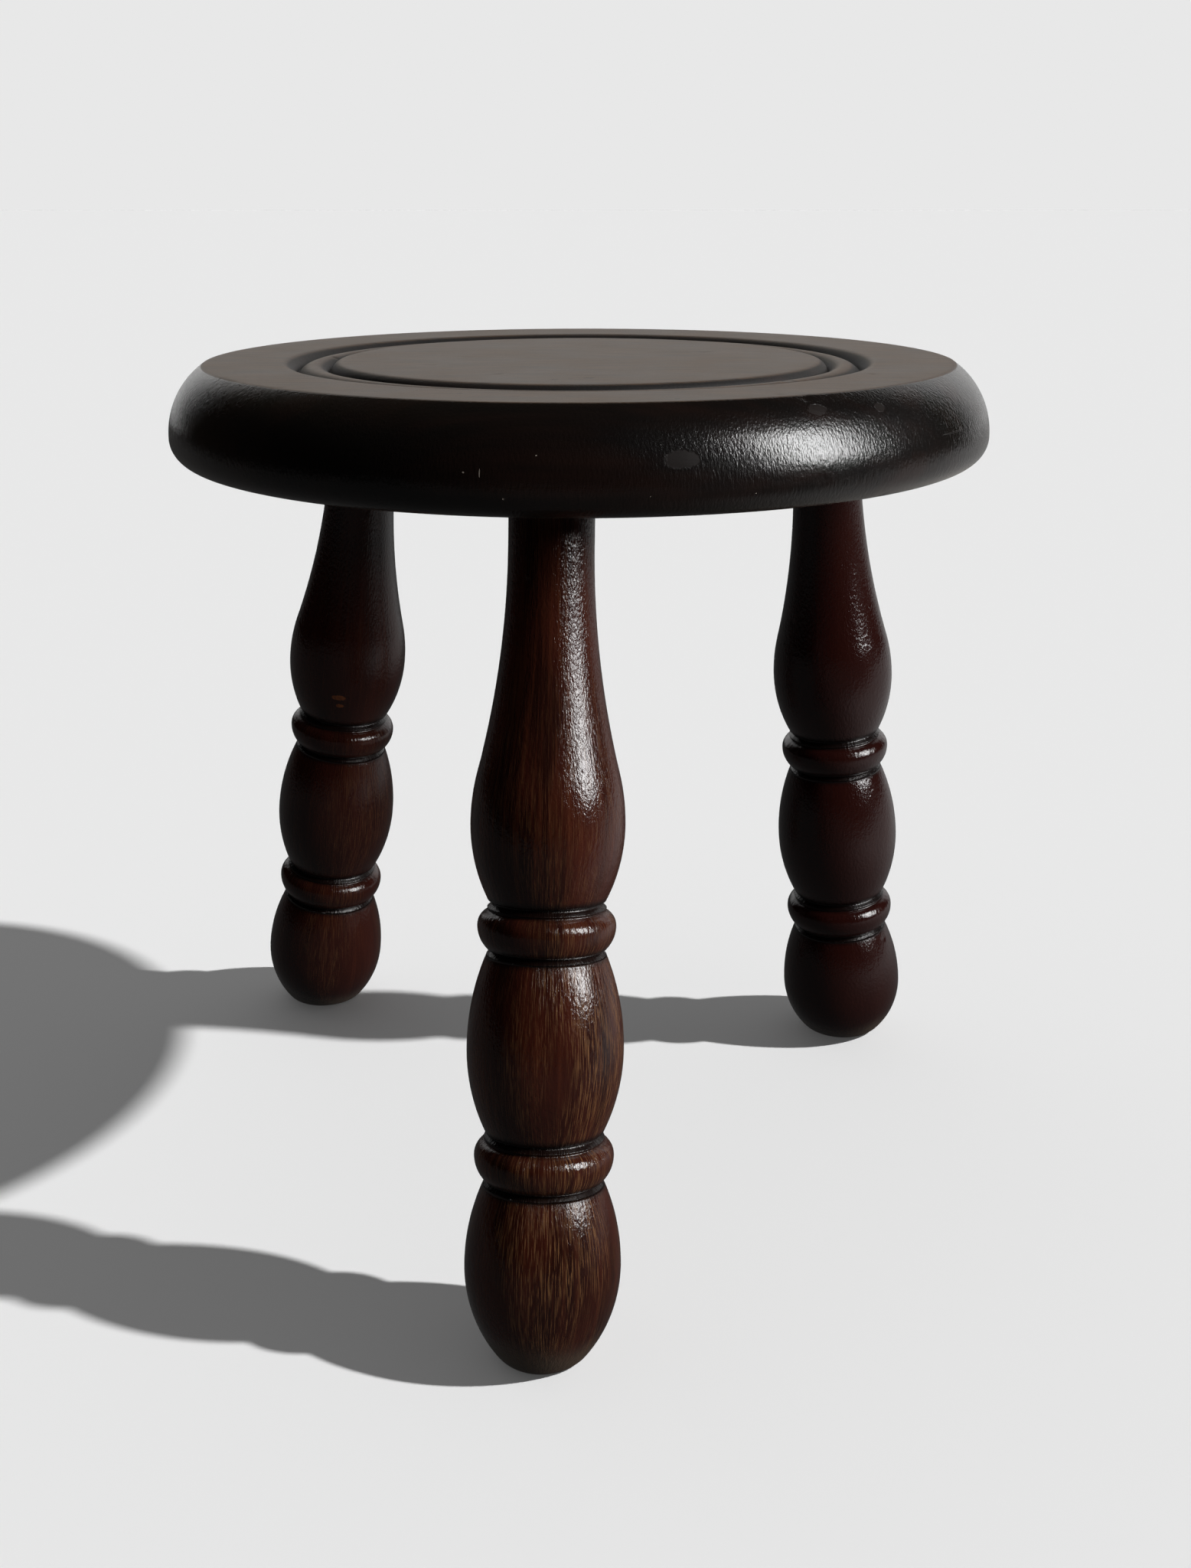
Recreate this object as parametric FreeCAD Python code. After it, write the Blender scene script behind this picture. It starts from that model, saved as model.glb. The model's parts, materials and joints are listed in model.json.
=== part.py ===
"""Three-legged turned wooden stool.

The frame has its origin at the middle of the seat's top face, on the seat's turning axis,
with Z up and the front leg towards minus Y. All lengths are in millimetres, angles in degrees.
"""
import FreeCAD, Part
import math
import os

# Whole stool
seat_diameter = 300.0
seat_thickness = 33.0
stool_height = 306.0

# Seat rim, seen in section: a wide upper round and a small lower one, meeting at the girth
rim_round_width = 13.2
rim_round_height = 24.5
rim_lower_round = 8.5

# Rings turned into the seat's top, from the outside in
top_ring_diameter = 218.0
outer_hollow_width = 5.7
bead_width = 12.0
inner_hollow_width = 4.5
quirk_depth = 4.5
bead_drop = 1.0

# Legs: their mortises lie on one circle, set in from the seat's edge, and each was bored at its own angle
mortise_inset = 40.0
mortise_circle_diameter = seat_diameter - 2 * mortise_inset
front_leg_bearing = -90.0
right_leg_bearing = 30.0
left_leg_bearing = 148.2
front_leg_splay = 13.3
right_leg_splay = 5.0
left_leg_splay = 9.6

# Turned profile of a leg, from its foot up: egg foot, ring, barrel, ring, vase and neck. The legs
# are turned alike, and each foot is then cut level where its own leg meets the floor
leg_turned_length = 280.5
foot_diameter = 51.9
front_foot_flat_diameter = 30.0
back_foot_flat_diameter = 31.0
foot_edge_round = 3.0
foot_crown_height = 30.4
foot_height = 59.9
lower_ring_diameter = 46.1
lower_ring_height = 16.1
barrel_diameter = 51.4
barrel_height = 60.5
barrel_crown_share = 0.455
upper_ring_diameter = 45.1
upper_ring_height = 15.9
ring_quirk_depth = 3.6
vase_diameter = 49.9
vase_crown_height = 25.0
vase_round_share = 0.19
neck_diameter = 27.4
neck_length = 14.0

# Blind joint between leg and seat: a round tenon, spread by a wedge as it is driven home
tenon_diameter = 22.0
tenon_length = 20.0
tenon_glue_gap = 0.15
mortise_relief = 1.0
wedge_length = 15.0
wedge_butt_thickness = 2.6
wedge_tip_thickness = 0.8

# Overrun of every trimming cut past the faces that it trims
cut_overrun = 5.0

origin = FreeCAD.Vector(0, 0, 0)
x_axis = FreeCAD.Vector(1, 0, 0)
y_axis = FreeCAD.Vector(0, 1, 0)
z_axis = FreeCAD.Vector(0, 0, 1)

seat_radius = seat_diameter / 2
floor_level = -stool_height
underside_level = -seat_thickness
underside_height = stool_height - seat_thickness


def at(radius, height):
    """Point of a section, in the half plane through the turning axis."""
    return FreeCAD.Vector(radius, 0, height)


def line(start, end):
    """Straight edge of a section."""
    return Part.LineSegment(start, end).toShape()


def arc(start, middle, end):
    """Round edge of a section through three points."""
    return Part.Arc(start, middle, end).toShape()


def corner_round(centre, radius, from_angle, to_angle):
    """Round edge of a section about a centre, between two angles."""
    points = []
    for angle in (from_angle, (from_angle + to_angle) / 2, to_angle):
        turn = math.radians(angle)
        points.append(centre + at(radius * math.cos(turn), radius * math.sin(turn)))
    return arc(*points)


def swell(crown, quirk):
    """Round edge that leaves the crown upright and runs in to the quirk beside it."""
    run = abs(quirk.z - crown.z)
    fall = crown.x - quirk.x
    radius = (run ** 2 + fall ** 2) / (2 * fall)
    half_turn = math.asin(run / radius) / 2
    side = math.copysign(1, quirk.z - crown.z)
    middle = at(
        crown.x - radius * (1 - math.cos(half_turn)),
        crown.z + side * radius * math.sin(half_turn),
    )
    return arc(crown, middle, quirk)


def shoulder(edge, quirk):
    """Round edge that leaves a flat level and falls to the quirk beside it."""
    run = abs(quirk.x - edge.x)
    fall = edge.z - quirk.z
    radius = (run ** 2 + fall ** 2) / (2 * fall)
    half_turn = math.asin(run / radius) / 2
    side = math.copysign(1, quirk.x - edge.x)
    middle = at(
        edge.x + side * radius * math.sin(half_turn),
        edge.z - radius * (1 - math.cos(half_turn)),
    )
    return arc(edge, middle, quirk)


def ogee(crown, neck, round_share):
    """Two edges, a round and a hollow, that join two upright tangents in one flowing line."""
    run = neck.z - crown.z
    fall = crown.x - neck.x
    turn = 2 * math.atan2(fall, run)
    radii = run / math.sin(turn)
    round_radius = round_share * radii
    hollow_radius = radii - round_radius

    def on_round(angle):
        return crown + at(-round_radius * (1 - math.cos(angle)), round_radius * math.sin(angle))

    def on_hollow(angle):
        return neck + at(hollow_radius * (1 - math.cos(angle)), -hollow_radius * math.sin(angle))

    return [
        arc(crown, on_round(turn / 2), on_round(turn)),
        arc(on_hollow(turn), on_hollow(turn / 2), neck),
    ]


def turned(edges):
    """Solid turned from the edges of a half section that starts and ends on the axis."""
    section = Part.Face(Part.Wire(edges))
    return section.revolve(origin, z_axis, 360)


def slab(low, high):
    """Block wider than the stool, between two levels, for trimming."""
    width = 2 * stool_height + seat_diameter
    block = Part.makeBox(width, width, high - low)
    block.translate(FreeCAD.Vector(-width / 2, -width / 2, low))
    return block


def seat_blank():
    """Seat as turned: flat disc, bead between two quirks, flat rim, rolled edge, flat underside."""
    rim_inner = at(top_ring_diameter / 2, 0)
    outer_quirk = at(rim_inner.x - outer_hollow_width, -quirk_depth)
    inner_quirk = at(outer_quirk.x - bead_width, -quirk_depth)
    disc_edge = at(inner_quirk.x - inner_hollow_width, 0)
    bead_crown = at((inner_quirk.x + outer_quirk.x) / 2, -bead_drop)
    rim_edge = at(seat_radius - rim_round_width, 0)
    girth = at(seat_radius, -rim_round_height)
    lower_corner = at(seat_radius - rim_lower_round, underside_level + rim_lower_round)
    lower_start = at(seat_radius, lower_corner.z)
    edges = [
        line(origin, disc_edge),
        shoulder(disc_edge, inner_quirk),
        arc(inner_quirk, bead_crown, outer_quirk),
        shoulder(rim_inner, outer_quirk),
        line(rim_inner, rim_edge),
        swell(girth, rim_edge),
    ]
    if lower_start.z < girth.z:
        edges.append(line(girth, lower_start))
    edges += [
        corner_round(lower_corner, rim_lower_round, 0, -90),
        line(at(lower_corner.x, underside_level), at(0, underside_level)),
        line(at(0, underside_level), origin),
    ]
    return turned(edges)


def leg_length(splay):
    """Length along the leg's axis from the floor to the seat's underside."""
    return underside_height / math.cos(math.radians(splay))


def leg_placement(bearing, splay):
    """Place of a leg whose own axis is upright and starts at the floor."""
    reach = mortise_circle_diameter / 2 + underside_height * math.tan(math.radians(splay))
    turn = math.radians(bearing)
    foot = FreeCAD.Vector(reach * math.cos(turn), reach * math.sin(turn), floor_level)
    rotation = FreeCAD.Rotation(z_axis, bearing) * FreeCAD.Rotation(y_axis, -splay)
    return FreeCAD.Placement(foot, rotation)


def placed(shape, placement):
    """Copy of a shape at its place in the stool."""
    moved = shape.copy()
    moved.Placement = placement * shape.Placement
    return moved


def foot_edge(crown, foot_flat):
    """Lower half of the egg foot, from its end on the axis up to its crown."""
    fall = crown.x - foot_flat / 2
    radius = (crown.z ** 2 + fall ** 2) / (2 * fall)
    centre = at(crown.x - radius, crown.z)
    end_angle = -math.degrees(math.acos(1 - crown.x / radius))
    return corner_round(centre, radius, end_angle, 0)


def turned_leg(splay, foot_flat):
    """Leg as turned, with its foot still whole and its neck running on into the seat."""
    lower_quirk = lower_ring_diameter / 2 - ring_quirk_depth
    upper_quirk = upper_ring_diameter / 2 - ring_quirk_depth
    foot_top = foot_height + leg_length(splay) - leg_turned_length
    lower_ring_top = foot_top + lower_ring_height
    barrel_top = lower_ring_top + barrel_height
    upper_ring_top = barrel_top + upper_ring_height
    foot_crown = at(foot_diameter / 2, foot_top - foot_height + foot_crown_height)
    quirk_1 = at(lower_quirk, foot_top)
    lower_ring = at(lower_ring_diameter / 2, foot_top + lower_ring_height / 2)
    quirk_2 = at(lower_quirk, lower_ring_top)
    barrel = at(barrel_diameter / 2, lower_ring_top + barrel_crown_share * barrel_height)
    quirk_3 = at(upper_quirk, barrel_top)
    upper_ring = at(upper_ring_diameter / 2, barrel_top + upper_ring_height / 2)
    quirk_4 = at(upper_quirk, upper_ring_top)
    vase = at(vase_diameter / 2, upper_ring_top + vase_crown_height)
    neck = at(neck_diameter / 2, leg_length(splay) - neck_length)
    neck_end = at(neck.x, leg_length(splay) + neck.x * math.tan(math.radians(splay)) + cut_overrun)
    foot_start = foot_edge(foot_crown, foot_flat)
    edges = [foot_start]
    for crown, below, above in (
        (foot_crown, None, quirk_1),
        (lower_ring, quirk_1, quirk_2),
        (barrel, quirk_2, quirk_3),
        (upper_ring, quirk_3, quirk_4),
        (vase, quirk_4, None),
    ):
        if below:
            edges.append(swell(crown, below))
        if above:
            edges.append(swell(crown, above))
    edges += ogee(vase, neck, vase_round_share)
    edges += [
        line(neck, neck_end),
        line(neck_end, at(0, neck_end.z)),
        line(at(0, neck_end.z), foot_start.Vertexes[0].Point),
    ]
    return turned(edges)


def joint_peg(splay, radius, length, root):
    """Round peg on the leg's axis that stands proud of the seat's underside by a length."""
    return Part.makeCylinder(radius, root + length, at(0, leg_length(splay) - root))


def wedge_prism(bearing, splay):
    """Tapered wedge, butt against the mortise's end, lying across the seat's grain."""
    butt = leg_length(splay) + tenon_length + mortise_relief
    tip = butt - wedge_length
    corners = [
        at(-wedge_tip_thickness / 2, tip),
        at(wedge_tip_thickness / 2, tip),
        at(wedge_butt_thickness / 2, butt),
        at(-wedge_butt_thickness / 2, butt),
    ]
    prism = Part.Face(Part.makePolygon(corners + corners[:1])).extrude(y_axis * tenon_diameter)
    prism.translate(y_axis * (-tenon_diameter / 2))
    prism.rotate(origin, z_axis, -bearing)
    return prism


def trimmed(body):
    """Leg cut level at the floor and scribed to the seat's underside, its foot's edge eased."""
    body = body.common(slab(floor_level, underside_level))
    sole = min(body.Faces, key=lambda face: face.CenterOfMass.z)
    return body.makeFillet(foot_edge_round, sole.OuterWire.Edges)


def leg_and_wedge(bearing, splay, foot_flat):
    """One leg, its shoulder scribed to the seat and its foot cut level, and its tenon's wedge."""
    placement = leg_placement(bearing, splay)
    root = neck_length / 2
    body = trimmed(placed(turned_leg(splay, foot_flat), placement))
    tenon = joint_peg(splay, tenon_diameter / 2, tenon_length, root)
    wedge_room = joint_peg(splay, tenon_diameter / 2, tenon_length + mortise_relief, root)
    prism = wedge_prism(bearing, splay)
    leg = body.fuse(placed(tenon, placement)).removeSplitter()
    leg = leg.cut(placed(prism, placement))
    wedge = placed(prism.common(wedge_room), placement)
    return leg, wedge


def mortise(bearing, splay):
    """Blind hole for one tenon, open at the seat's underside."""
    depth = tenon_length + mortise_relief
    hole = joint_peg(splay, tenon_diameter / 2 + tenon_glue_gap, depth, neck_length / 2)
    return placed(hole, leg_placement(bearing, splay))


def main():
    legs = (
        ("front", front_leg_bearing, front_leg_splay, front_foot_flat_diameter),
        ("right", right_leg_bearing, right_leg_splay, back_foot_flat_diameter),
        ("left", left_leg_bearing, left_leg_splay, back_foot_flat_diameter),
    )
    pieces = {"seat": seat_blank()}
    for name, bearing, splay, foot_flat in legs:
        leg, wedge = leg_and_wedge(bearing, splay, foot_flat)
        pieces["leg_" + name] = leg
        pieces["wedge_" + name] = wedge
        pieces["seat"] = pieces["seat"].cut(mortise(bearing, splay))
    os.makedirs("parts", exist_ok=True)
    for node, shape in pieces.items():
        print(node, "solids:", len(shape.Solids), "volume:", round(shape.Volume))
        shape.Solids[0].exportStep("parts/" + node + ".step")


main()
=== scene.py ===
"""Turned three-legged stool: the dressed pieces, their wood finishes, and the stage they stand on."""

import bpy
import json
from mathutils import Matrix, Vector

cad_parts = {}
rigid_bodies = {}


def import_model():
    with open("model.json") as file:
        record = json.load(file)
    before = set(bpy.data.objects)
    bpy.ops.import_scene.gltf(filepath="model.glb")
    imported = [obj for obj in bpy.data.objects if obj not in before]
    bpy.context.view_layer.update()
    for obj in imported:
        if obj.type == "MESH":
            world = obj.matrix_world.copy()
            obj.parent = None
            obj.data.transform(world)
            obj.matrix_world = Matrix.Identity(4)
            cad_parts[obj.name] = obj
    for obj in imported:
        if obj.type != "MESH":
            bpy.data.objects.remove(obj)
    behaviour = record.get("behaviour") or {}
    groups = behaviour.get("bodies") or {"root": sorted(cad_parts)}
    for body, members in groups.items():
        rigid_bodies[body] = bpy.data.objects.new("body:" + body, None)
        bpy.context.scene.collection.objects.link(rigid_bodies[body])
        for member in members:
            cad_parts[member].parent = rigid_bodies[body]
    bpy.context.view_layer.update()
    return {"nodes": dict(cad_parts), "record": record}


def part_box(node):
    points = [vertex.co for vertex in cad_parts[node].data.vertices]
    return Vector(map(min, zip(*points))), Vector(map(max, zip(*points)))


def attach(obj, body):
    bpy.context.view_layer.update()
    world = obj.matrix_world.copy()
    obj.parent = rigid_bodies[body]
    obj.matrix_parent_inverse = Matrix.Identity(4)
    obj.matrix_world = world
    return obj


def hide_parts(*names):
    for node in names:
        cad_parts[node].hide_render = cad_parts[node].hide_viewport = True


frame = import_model()

import json
import math

import bmesh
import bpy
from bpy.props import FloatProperty, FloatVectorProperty, IntProperty, PointerProperty
from mathutils import Euler, Matrix, Vector

bl_info = {
    "name": "Turned three-legged stool",
    "version": (1, 0, 0),
    "blender": (4, 5, 0),
    "location": "3D Viewport > Sidebar > Stool",
    "description": "Turns the stool's seat and legs, finishes their wood and sets the stage",
    "category": "Object",
}

MM = 0.001

# Spacing of the mesh rows in the narrow grooves, and how close two points are to be made one
GROOVE_SPACING = 0.25 * MM
WELD_DISTANCE = 0.002 * MM

# Reach of the painted shade and dirt round a quirk, spacing of the bruises, and how the turned pieces
# stray from round
SHADE_AND_DIRT_REACH = 5 * MM
DENT_SPACING = 24 * MM
SWAY_SCALE = 0.9
SWAY_PER_METRE = 14

# Each leg's grain lies on a cylinder of this radius, moved aside by the leg's own seed
LEG_NAMES = ("front", "right", "left")
GRAIN_RADIUS = 24 * MM
LEG_SEEDS = {"front": 0.7, "right": 1.4, "left": 2.1}

# Marks on the seat and, on its grain's cylinder, on the left leg
# Each has a bearing in degrees, then its radius, height, width and tallness in mm
DULL_SPOTS = (
    (-73.8, 148.5, -15.2, 11.1, 5.4), (-54.8, 141.6, -4.0, 7.0, 3.6), (-44.5, 142.6, -5.0, 4.6, 3.2),
)
RING_MARK = (-52.1, 149.9, -25.6, 7.6, 4.2)
BARE_SPOTS = (
    (-98.6, 149.4, -18.8, 0.6, 0.5), (-96.7, 149.4, -18.9, 0.3, 2.6), (-90.3, 147.9, -13.7, 0.5, 0.4),
    (-94.0, 149.8, -26.2, 0.6, 0.5), (-83.0, 149.8, -23.0, 0.3, 0.3), (-70.5, 149.9, -27.0, 0.4, 0.3),
    (-77.5, 149.9, -25.5, 0.3, 0.3), (-65.0, 149.9, -26.0, 0.4, 0.3), (-61.5, 145.0, -9.0, 0.3, 0.4),
)
NICKS = (
    (-91.6, 74.7, 0.0, 2.6, 0.8), (-87.8, 72.1, 0.0, 1.4, 0.8), (-82.7, 69.9, 0.0, 3.6, 0.8),
    (-72.5, 130.9, 0.0, 1.8, 0.8), (-103.5, 118.5, 0.0, 1.8, 0.8), (-30.5, 148.7, -15.8, 14.0, 0.35),
)
CHECKED_END = (-140.0, 140.0, -4.0, 62.0, 14.0)
LEFT_LEG_SPOTS = ((126, 24, 164, 6, 2.4), (128, 24, 160, 3.5, 1.8))

# A mark fades out between these shares of its size, and noise makes its edge ragged
MARK_OUTSIDE_SHARE = 1.1
MARK_INSIDE_SHARE = 0.85
RAGGED_SCALE = 700
RAGGED_SHARE = 0.5

# Bare wood of the wedges
WEDGE_DARK = (0.26, 0.15, 0.075)
WEDGE_LIGHT = (0.42, 0.28, 0.16)
WEDGE_RELIEF = 0.05 * MM

# Gap between the floor and the dark screens, and the height up to which the screens gleam
# The gleam grows towards the back right, from one place (x, y) to the other
SCREEN_GAP = 0.5 * MM
GLEAM_HEIGHT = 0.10
GLEAM_START = (0.10, -0.45)
GLEAM_FULL = (0.40, -0.05)

# Height of the camera's sensor, in mm as Blender gives it, and the nearest distance it sees
SENSOR_HEIGHT = 36
NEAREST_SEEN = 10 * MM

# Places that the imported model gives
seat_low, seat_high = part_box("seat")
SEAT_RADIUS = (seat_high.x - seat_low.x) / 2
SEAT_THICKNESS = seat_high.z - seat_low.z
UNDERSIDE_LEVEL = -SEAT_THICKNESS
MOUNT_PLACES = {mount["name"]: Vector(mount["pos_m"]) for mount in frame["record"]["mounts"]}
FLOOR_LEVEL = MOUNT_PLACES["front_foot"].z
UNDERSIDE_HEIGHT = UNDERSIDE_LEVEL - FLOOR_LEVEL


# Property helpers

def size(label, description, default):
    """Property that holds a length in metres."""
    return FloatProperty(name=label, description=description, default=default, unit="LENGTH", precision=5)


def share(label, description, default):
    """Property that holds a share from nothing to all."""
    return FloatProperty(
        name=label, description=description, default=default, subtype="FACTOR", min=0, max=1,
    )


def number(label, description, default):
    """Property that holds a plain number."""
    return FloatProperty(name=label, description=description, default=default)


def angle(label, description, degrees):
    """Property that holds an angle, given in degrees."""
    return FloatProperty(
        name=label, description=description, default=math.radians(degrees), subtype="ANGLE",
    )


def colour(label, description, default):
    """Property that holds a colour in linear values."""
    return FloatVectorProperty(
        name=label, description=description, default=default, size=3, subtype="COLOR", min=0, max=1,
    )


def grey(label, description, level):
    """Property that holds a neutral colour."""
    return colour(label, description, (level, level, level))


def count(label, description, default):
    """Property that holds a whole number."""
    return IntProperty(name=label, description=description, default=default, min=1)


class SeatSettings(bpy.types.PropertyGroup):
    """Sizes and colours of the seat"""

    rim_round_width: size("Rim round width", "Width of the rim's upper round, seen in section", 13.2 * MM)
    rim_round_height: size("Rim round height", "Height of the rim's upper round", 24.5 * MM)
    rim_lower_round: size("Lower round", "Radius of the rim's lower edge", 8.5 * MM)
    top_ring_diameter: size("Ring diameter", "Outer diameter of the rings turned into the top", 218 * MM)
    outer_hollow_width: size("Outer hollow width", "Width of the outer quirk's outer wall", 5.7 * MM)
    bead_width: size("Bead width", "Width of the bead between the quirks", 12 * MM)
    inner_hollow_width: size("Inner hollow width", "Width of the inner quirk's inner wall", 4.5 * MM)
    quirk_depth: size("Quirk depth", "Depth of the quirks beside the bead", 4.5 * MM)
    bead_drop: size("Bead drop", "How far the bead's crown lies below the top", 1.0 * MM)
    row_spacing: size("Row spacing", "Spacing of the mesh rows on the mouldings", 0.72 * MM)
    flat_spacing: size("Flat spacing", "Spacing of the mesh rows on the flats", 4.2 * MM)
    segments: count("Segments", "Mesh segments round the seat", 560)
    out_of_round: share("Out of round", "How far the rim strays from a true circle", 0.0012)
    dent_size: size("Dent size", "Radius of the bruises in the rim and top", 2.6 * MM)
    dent_depth: size("Dent depth", "Depth of the bruises", 0.35 * MM)
    dark: colour("Dark stain", "Colour of the seat's stained wood", (0.0040, 0.0030, 0.0028))
    red: colour("Red stain", "Colour where the stain is thin", (0.0120, 0.0055, 0.0042))
    dull: colour("Dull spots", "Colour of the dulled spots on the rim", (0.017, 0.013, 0.012))
    bare: colour("Bare specks", "Colour of the bare specks on the rim", (0.30, 0.26, 0.22))
    bloom: colour("Bloom", "Colour of the dusty bloom seen along the surface", (1.0, 0.80, 0.58))
    # Worn dust with a painted sheen: the top is lightened to stand in for the pale backdrop's reflection
    # at a low angle
    dust_and_sheen: colour("Dust", "Colour of the worn and dusty top", (0.070, 0.035, 0.014))
    # Dirt and painted shade: this colour darkens the grooves, where shade falls
    grime_and_shade: colour("Grime", "Colour of the dirt in the grooves", (0.004, 0.003, 0.003))
    nick: colour("Nicks", "Colour inside the nicks and cracks", (0.002, 0.0015, 0.0012))
    bloom_strength: share("Bloom strength", "Strength of the dusty bloom", 0.08)
    bloom_spread: share("Bloom spread", "How far the bloom spreads from the surface's edge", 0.4)
    roughness: share("Roughness", "Roughness of the polished rim", 0.22)
    relief: size("Relief", "Depth of the ripples and the grain in the polish", 0.14 * MM)
    ring_dull_start: size("Ring dull start", "How far outside the rings the dull band starts", 3.5 * MM)
    ring_dull_full: size("Ring dull full", "How far outside the rings the dull band is full", 0.5 * MM)


class LegSettings(bpy.types.PropertyGroup):
    """Sizes and colours of the legs"""

    mortise_circle_radius: size("Mortise circle", "Radius of the circle of the mortises", 110 * MM)
    turned_length: size("Turned length", "Length of a leg as turned, up to the seat", 280.5 * MM)
    foot_diameter: size("Foot diameter", "Diameter of the egg foot", 51.9 * MM)
    front_foot_flat: size("Front foot flat", "Diameter where the front foot is cut level", 30 * MM)
    back_foot_flat: size("Back foot flat", "Diameter where the back feet are cut level", 31 * MM)
    foot_edge_round: size("Foot edge", "Width of the eased edge round the sole", 3 * MM)
    foot_crown_height: size("Foot crown", "Height of the foot's widest place", 30.4 * MM)
    foot_height: size("Foot height", "Height of the foot up to its quirk", 59.9 * MM)
    lower_ring_diameter: size("Lower ring diameter", "Diameter of the lower ring", 46.1 * MM)
    lower_ring_height: size("Lower ring height", "Height of the lower ring", 16.1 * MM)
    barrel_diameter: size("Barrel diameter", "Diameter of the barrel", 51.4 * MM)
    barrel_height: size("Barrel height", "Height of the barrel", 60.5 * MM)
    barrel_crown_share: share("Barrel crown", "Height of the barrel's widest place, as a share", 0.455)
    upper_ring_diameter: size("Upper ring diameter", "Diameter of the upper ring", 45.1 * MM)
    upper_ring_height: size("Upper ring height", "Height of the upper ring", 15.9 * MM)
    ring_quirk_depth: size("Quirk depth", "Depth of the quirks beside the rings", 3.6 * MM)
    arris: size("Arris", "Width of the sharp edges and grooves beside the rings", 1.0 * MM)
    edge_ease: size("Edge ease", "How far the swells' ends are eased", 0.8 * MM)
    vase_diameter: size("Vase diameter", "Diameter of the vase", 49.9 * MM)
    vase_crown_height: size("Vase crown", "Height of the vase's widest place above its quirk", 25.0 * MM)
    vase_round_share: share("Vase round", "Share of the round in the vase's flowing line", 0.19)
    neck_diameter: size("Neck diameter", "Diameter of the neck under the seat", 27.4 * MM)
    neck_length: size("Neck length", "Length of the neck's straight end", 14 * MM)
    tenon_diameter: size("Tenon diameter", "Diameter of the round tenon", 22 * MM)
    tenon_length: size("Tenon length", "Length of the tenon inside the seat", 20 * MM)
    mortise_clearance: size("Mortise clearance", "Room round the tenon for glue", 0.15 * MM)
    mortise_relief: size("Mortise relief", "Room past the tenon's end", 1 * MM)
    row_spacing: size("Row spacing", "Spacing of the mesh rows along the leg", 0.8 * MM)
    segments: count("Segments", "Mesh segments round a leg", 128)
    out_of_round: share("Out of round", "How far a leg strays from true round", 0.006)
    dent_size: size("Dent size", "Radius of the bruises in the legs", 2.2 * MM)
    dent_depth: size("Dent depth", "Depth of the bruises", 0.30 * MM)
    dark: colour("Dark stain", "Colour where the stain is thickest", (0.017, 0.0045, 0.0032))
    brown: colour("Brown stain", "Colour of the stained wood", (0.052, 0.0115, 0.0064))
    warm: colour("Warm grain", "Colour of the lighter grain", (0.090, 0.0240, 0.0105))
    pore: colour("Pores", "Colour of the fine golden pores", (0.300, 0.145, 0.058))
    # Painted shade: the second stain darkens the back legs, each by its share below, where they get less
    # light, and hides their golden pores
    stain: colour("Second stain", "Colour of the second coat of stain", (0.019, 0.0043, 0.0034))
    front_leg_shade: share("Front stain", "Strength of the second coat on the front leg", 0.0)
    right_leg_shade: share("Right stain", "Strength of the second coat on the right leg", 0.92)
    left_leg_shade: share("Left stain", "Strength of the second coat on the left leg", 0.50)
    rubbed: colour("Rubbed spots", "Colour of the left leg's rubbed spots", (0.26, 0.075, 0.018))
    scuff: colour("Scuffs", "Colour of the scuffed and dusty soles", (0.110, 0.080, 0.055))
    scuff_end: size("Scuff end", "Height that the scuffs reach", 13 * MM)
    scuff_full: size("Scuff full", "Height up to which the scuffs are full", 2 * MM)
    scuff_sway: size("Scuff sway", "How far the scuffs' edge goes up and down", 12 * MM)
    # Dirt and painted shade: this colour darkens the quirks, where shade falls
    grime_and_shade: colour("Grime", "Colour of the dirt in the quirks", (0.003, 0.0011, 0.0008))
    pore_end: size("Pore end", "Height above which few golden pores show", 175 * MM)
    pore_full: size("Pore full", "Height up to which all golden pores show", 125 * MM)
    pore_base: share("Pores elsewhere", "Share of the golden pores above that height", 0.25)
    roughness: share("Roughness", "Roughness of the polish", 0.15)
    relief: size("Relief", "Depth of the crinkles in the polish", 0.20 * MM)


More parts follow.
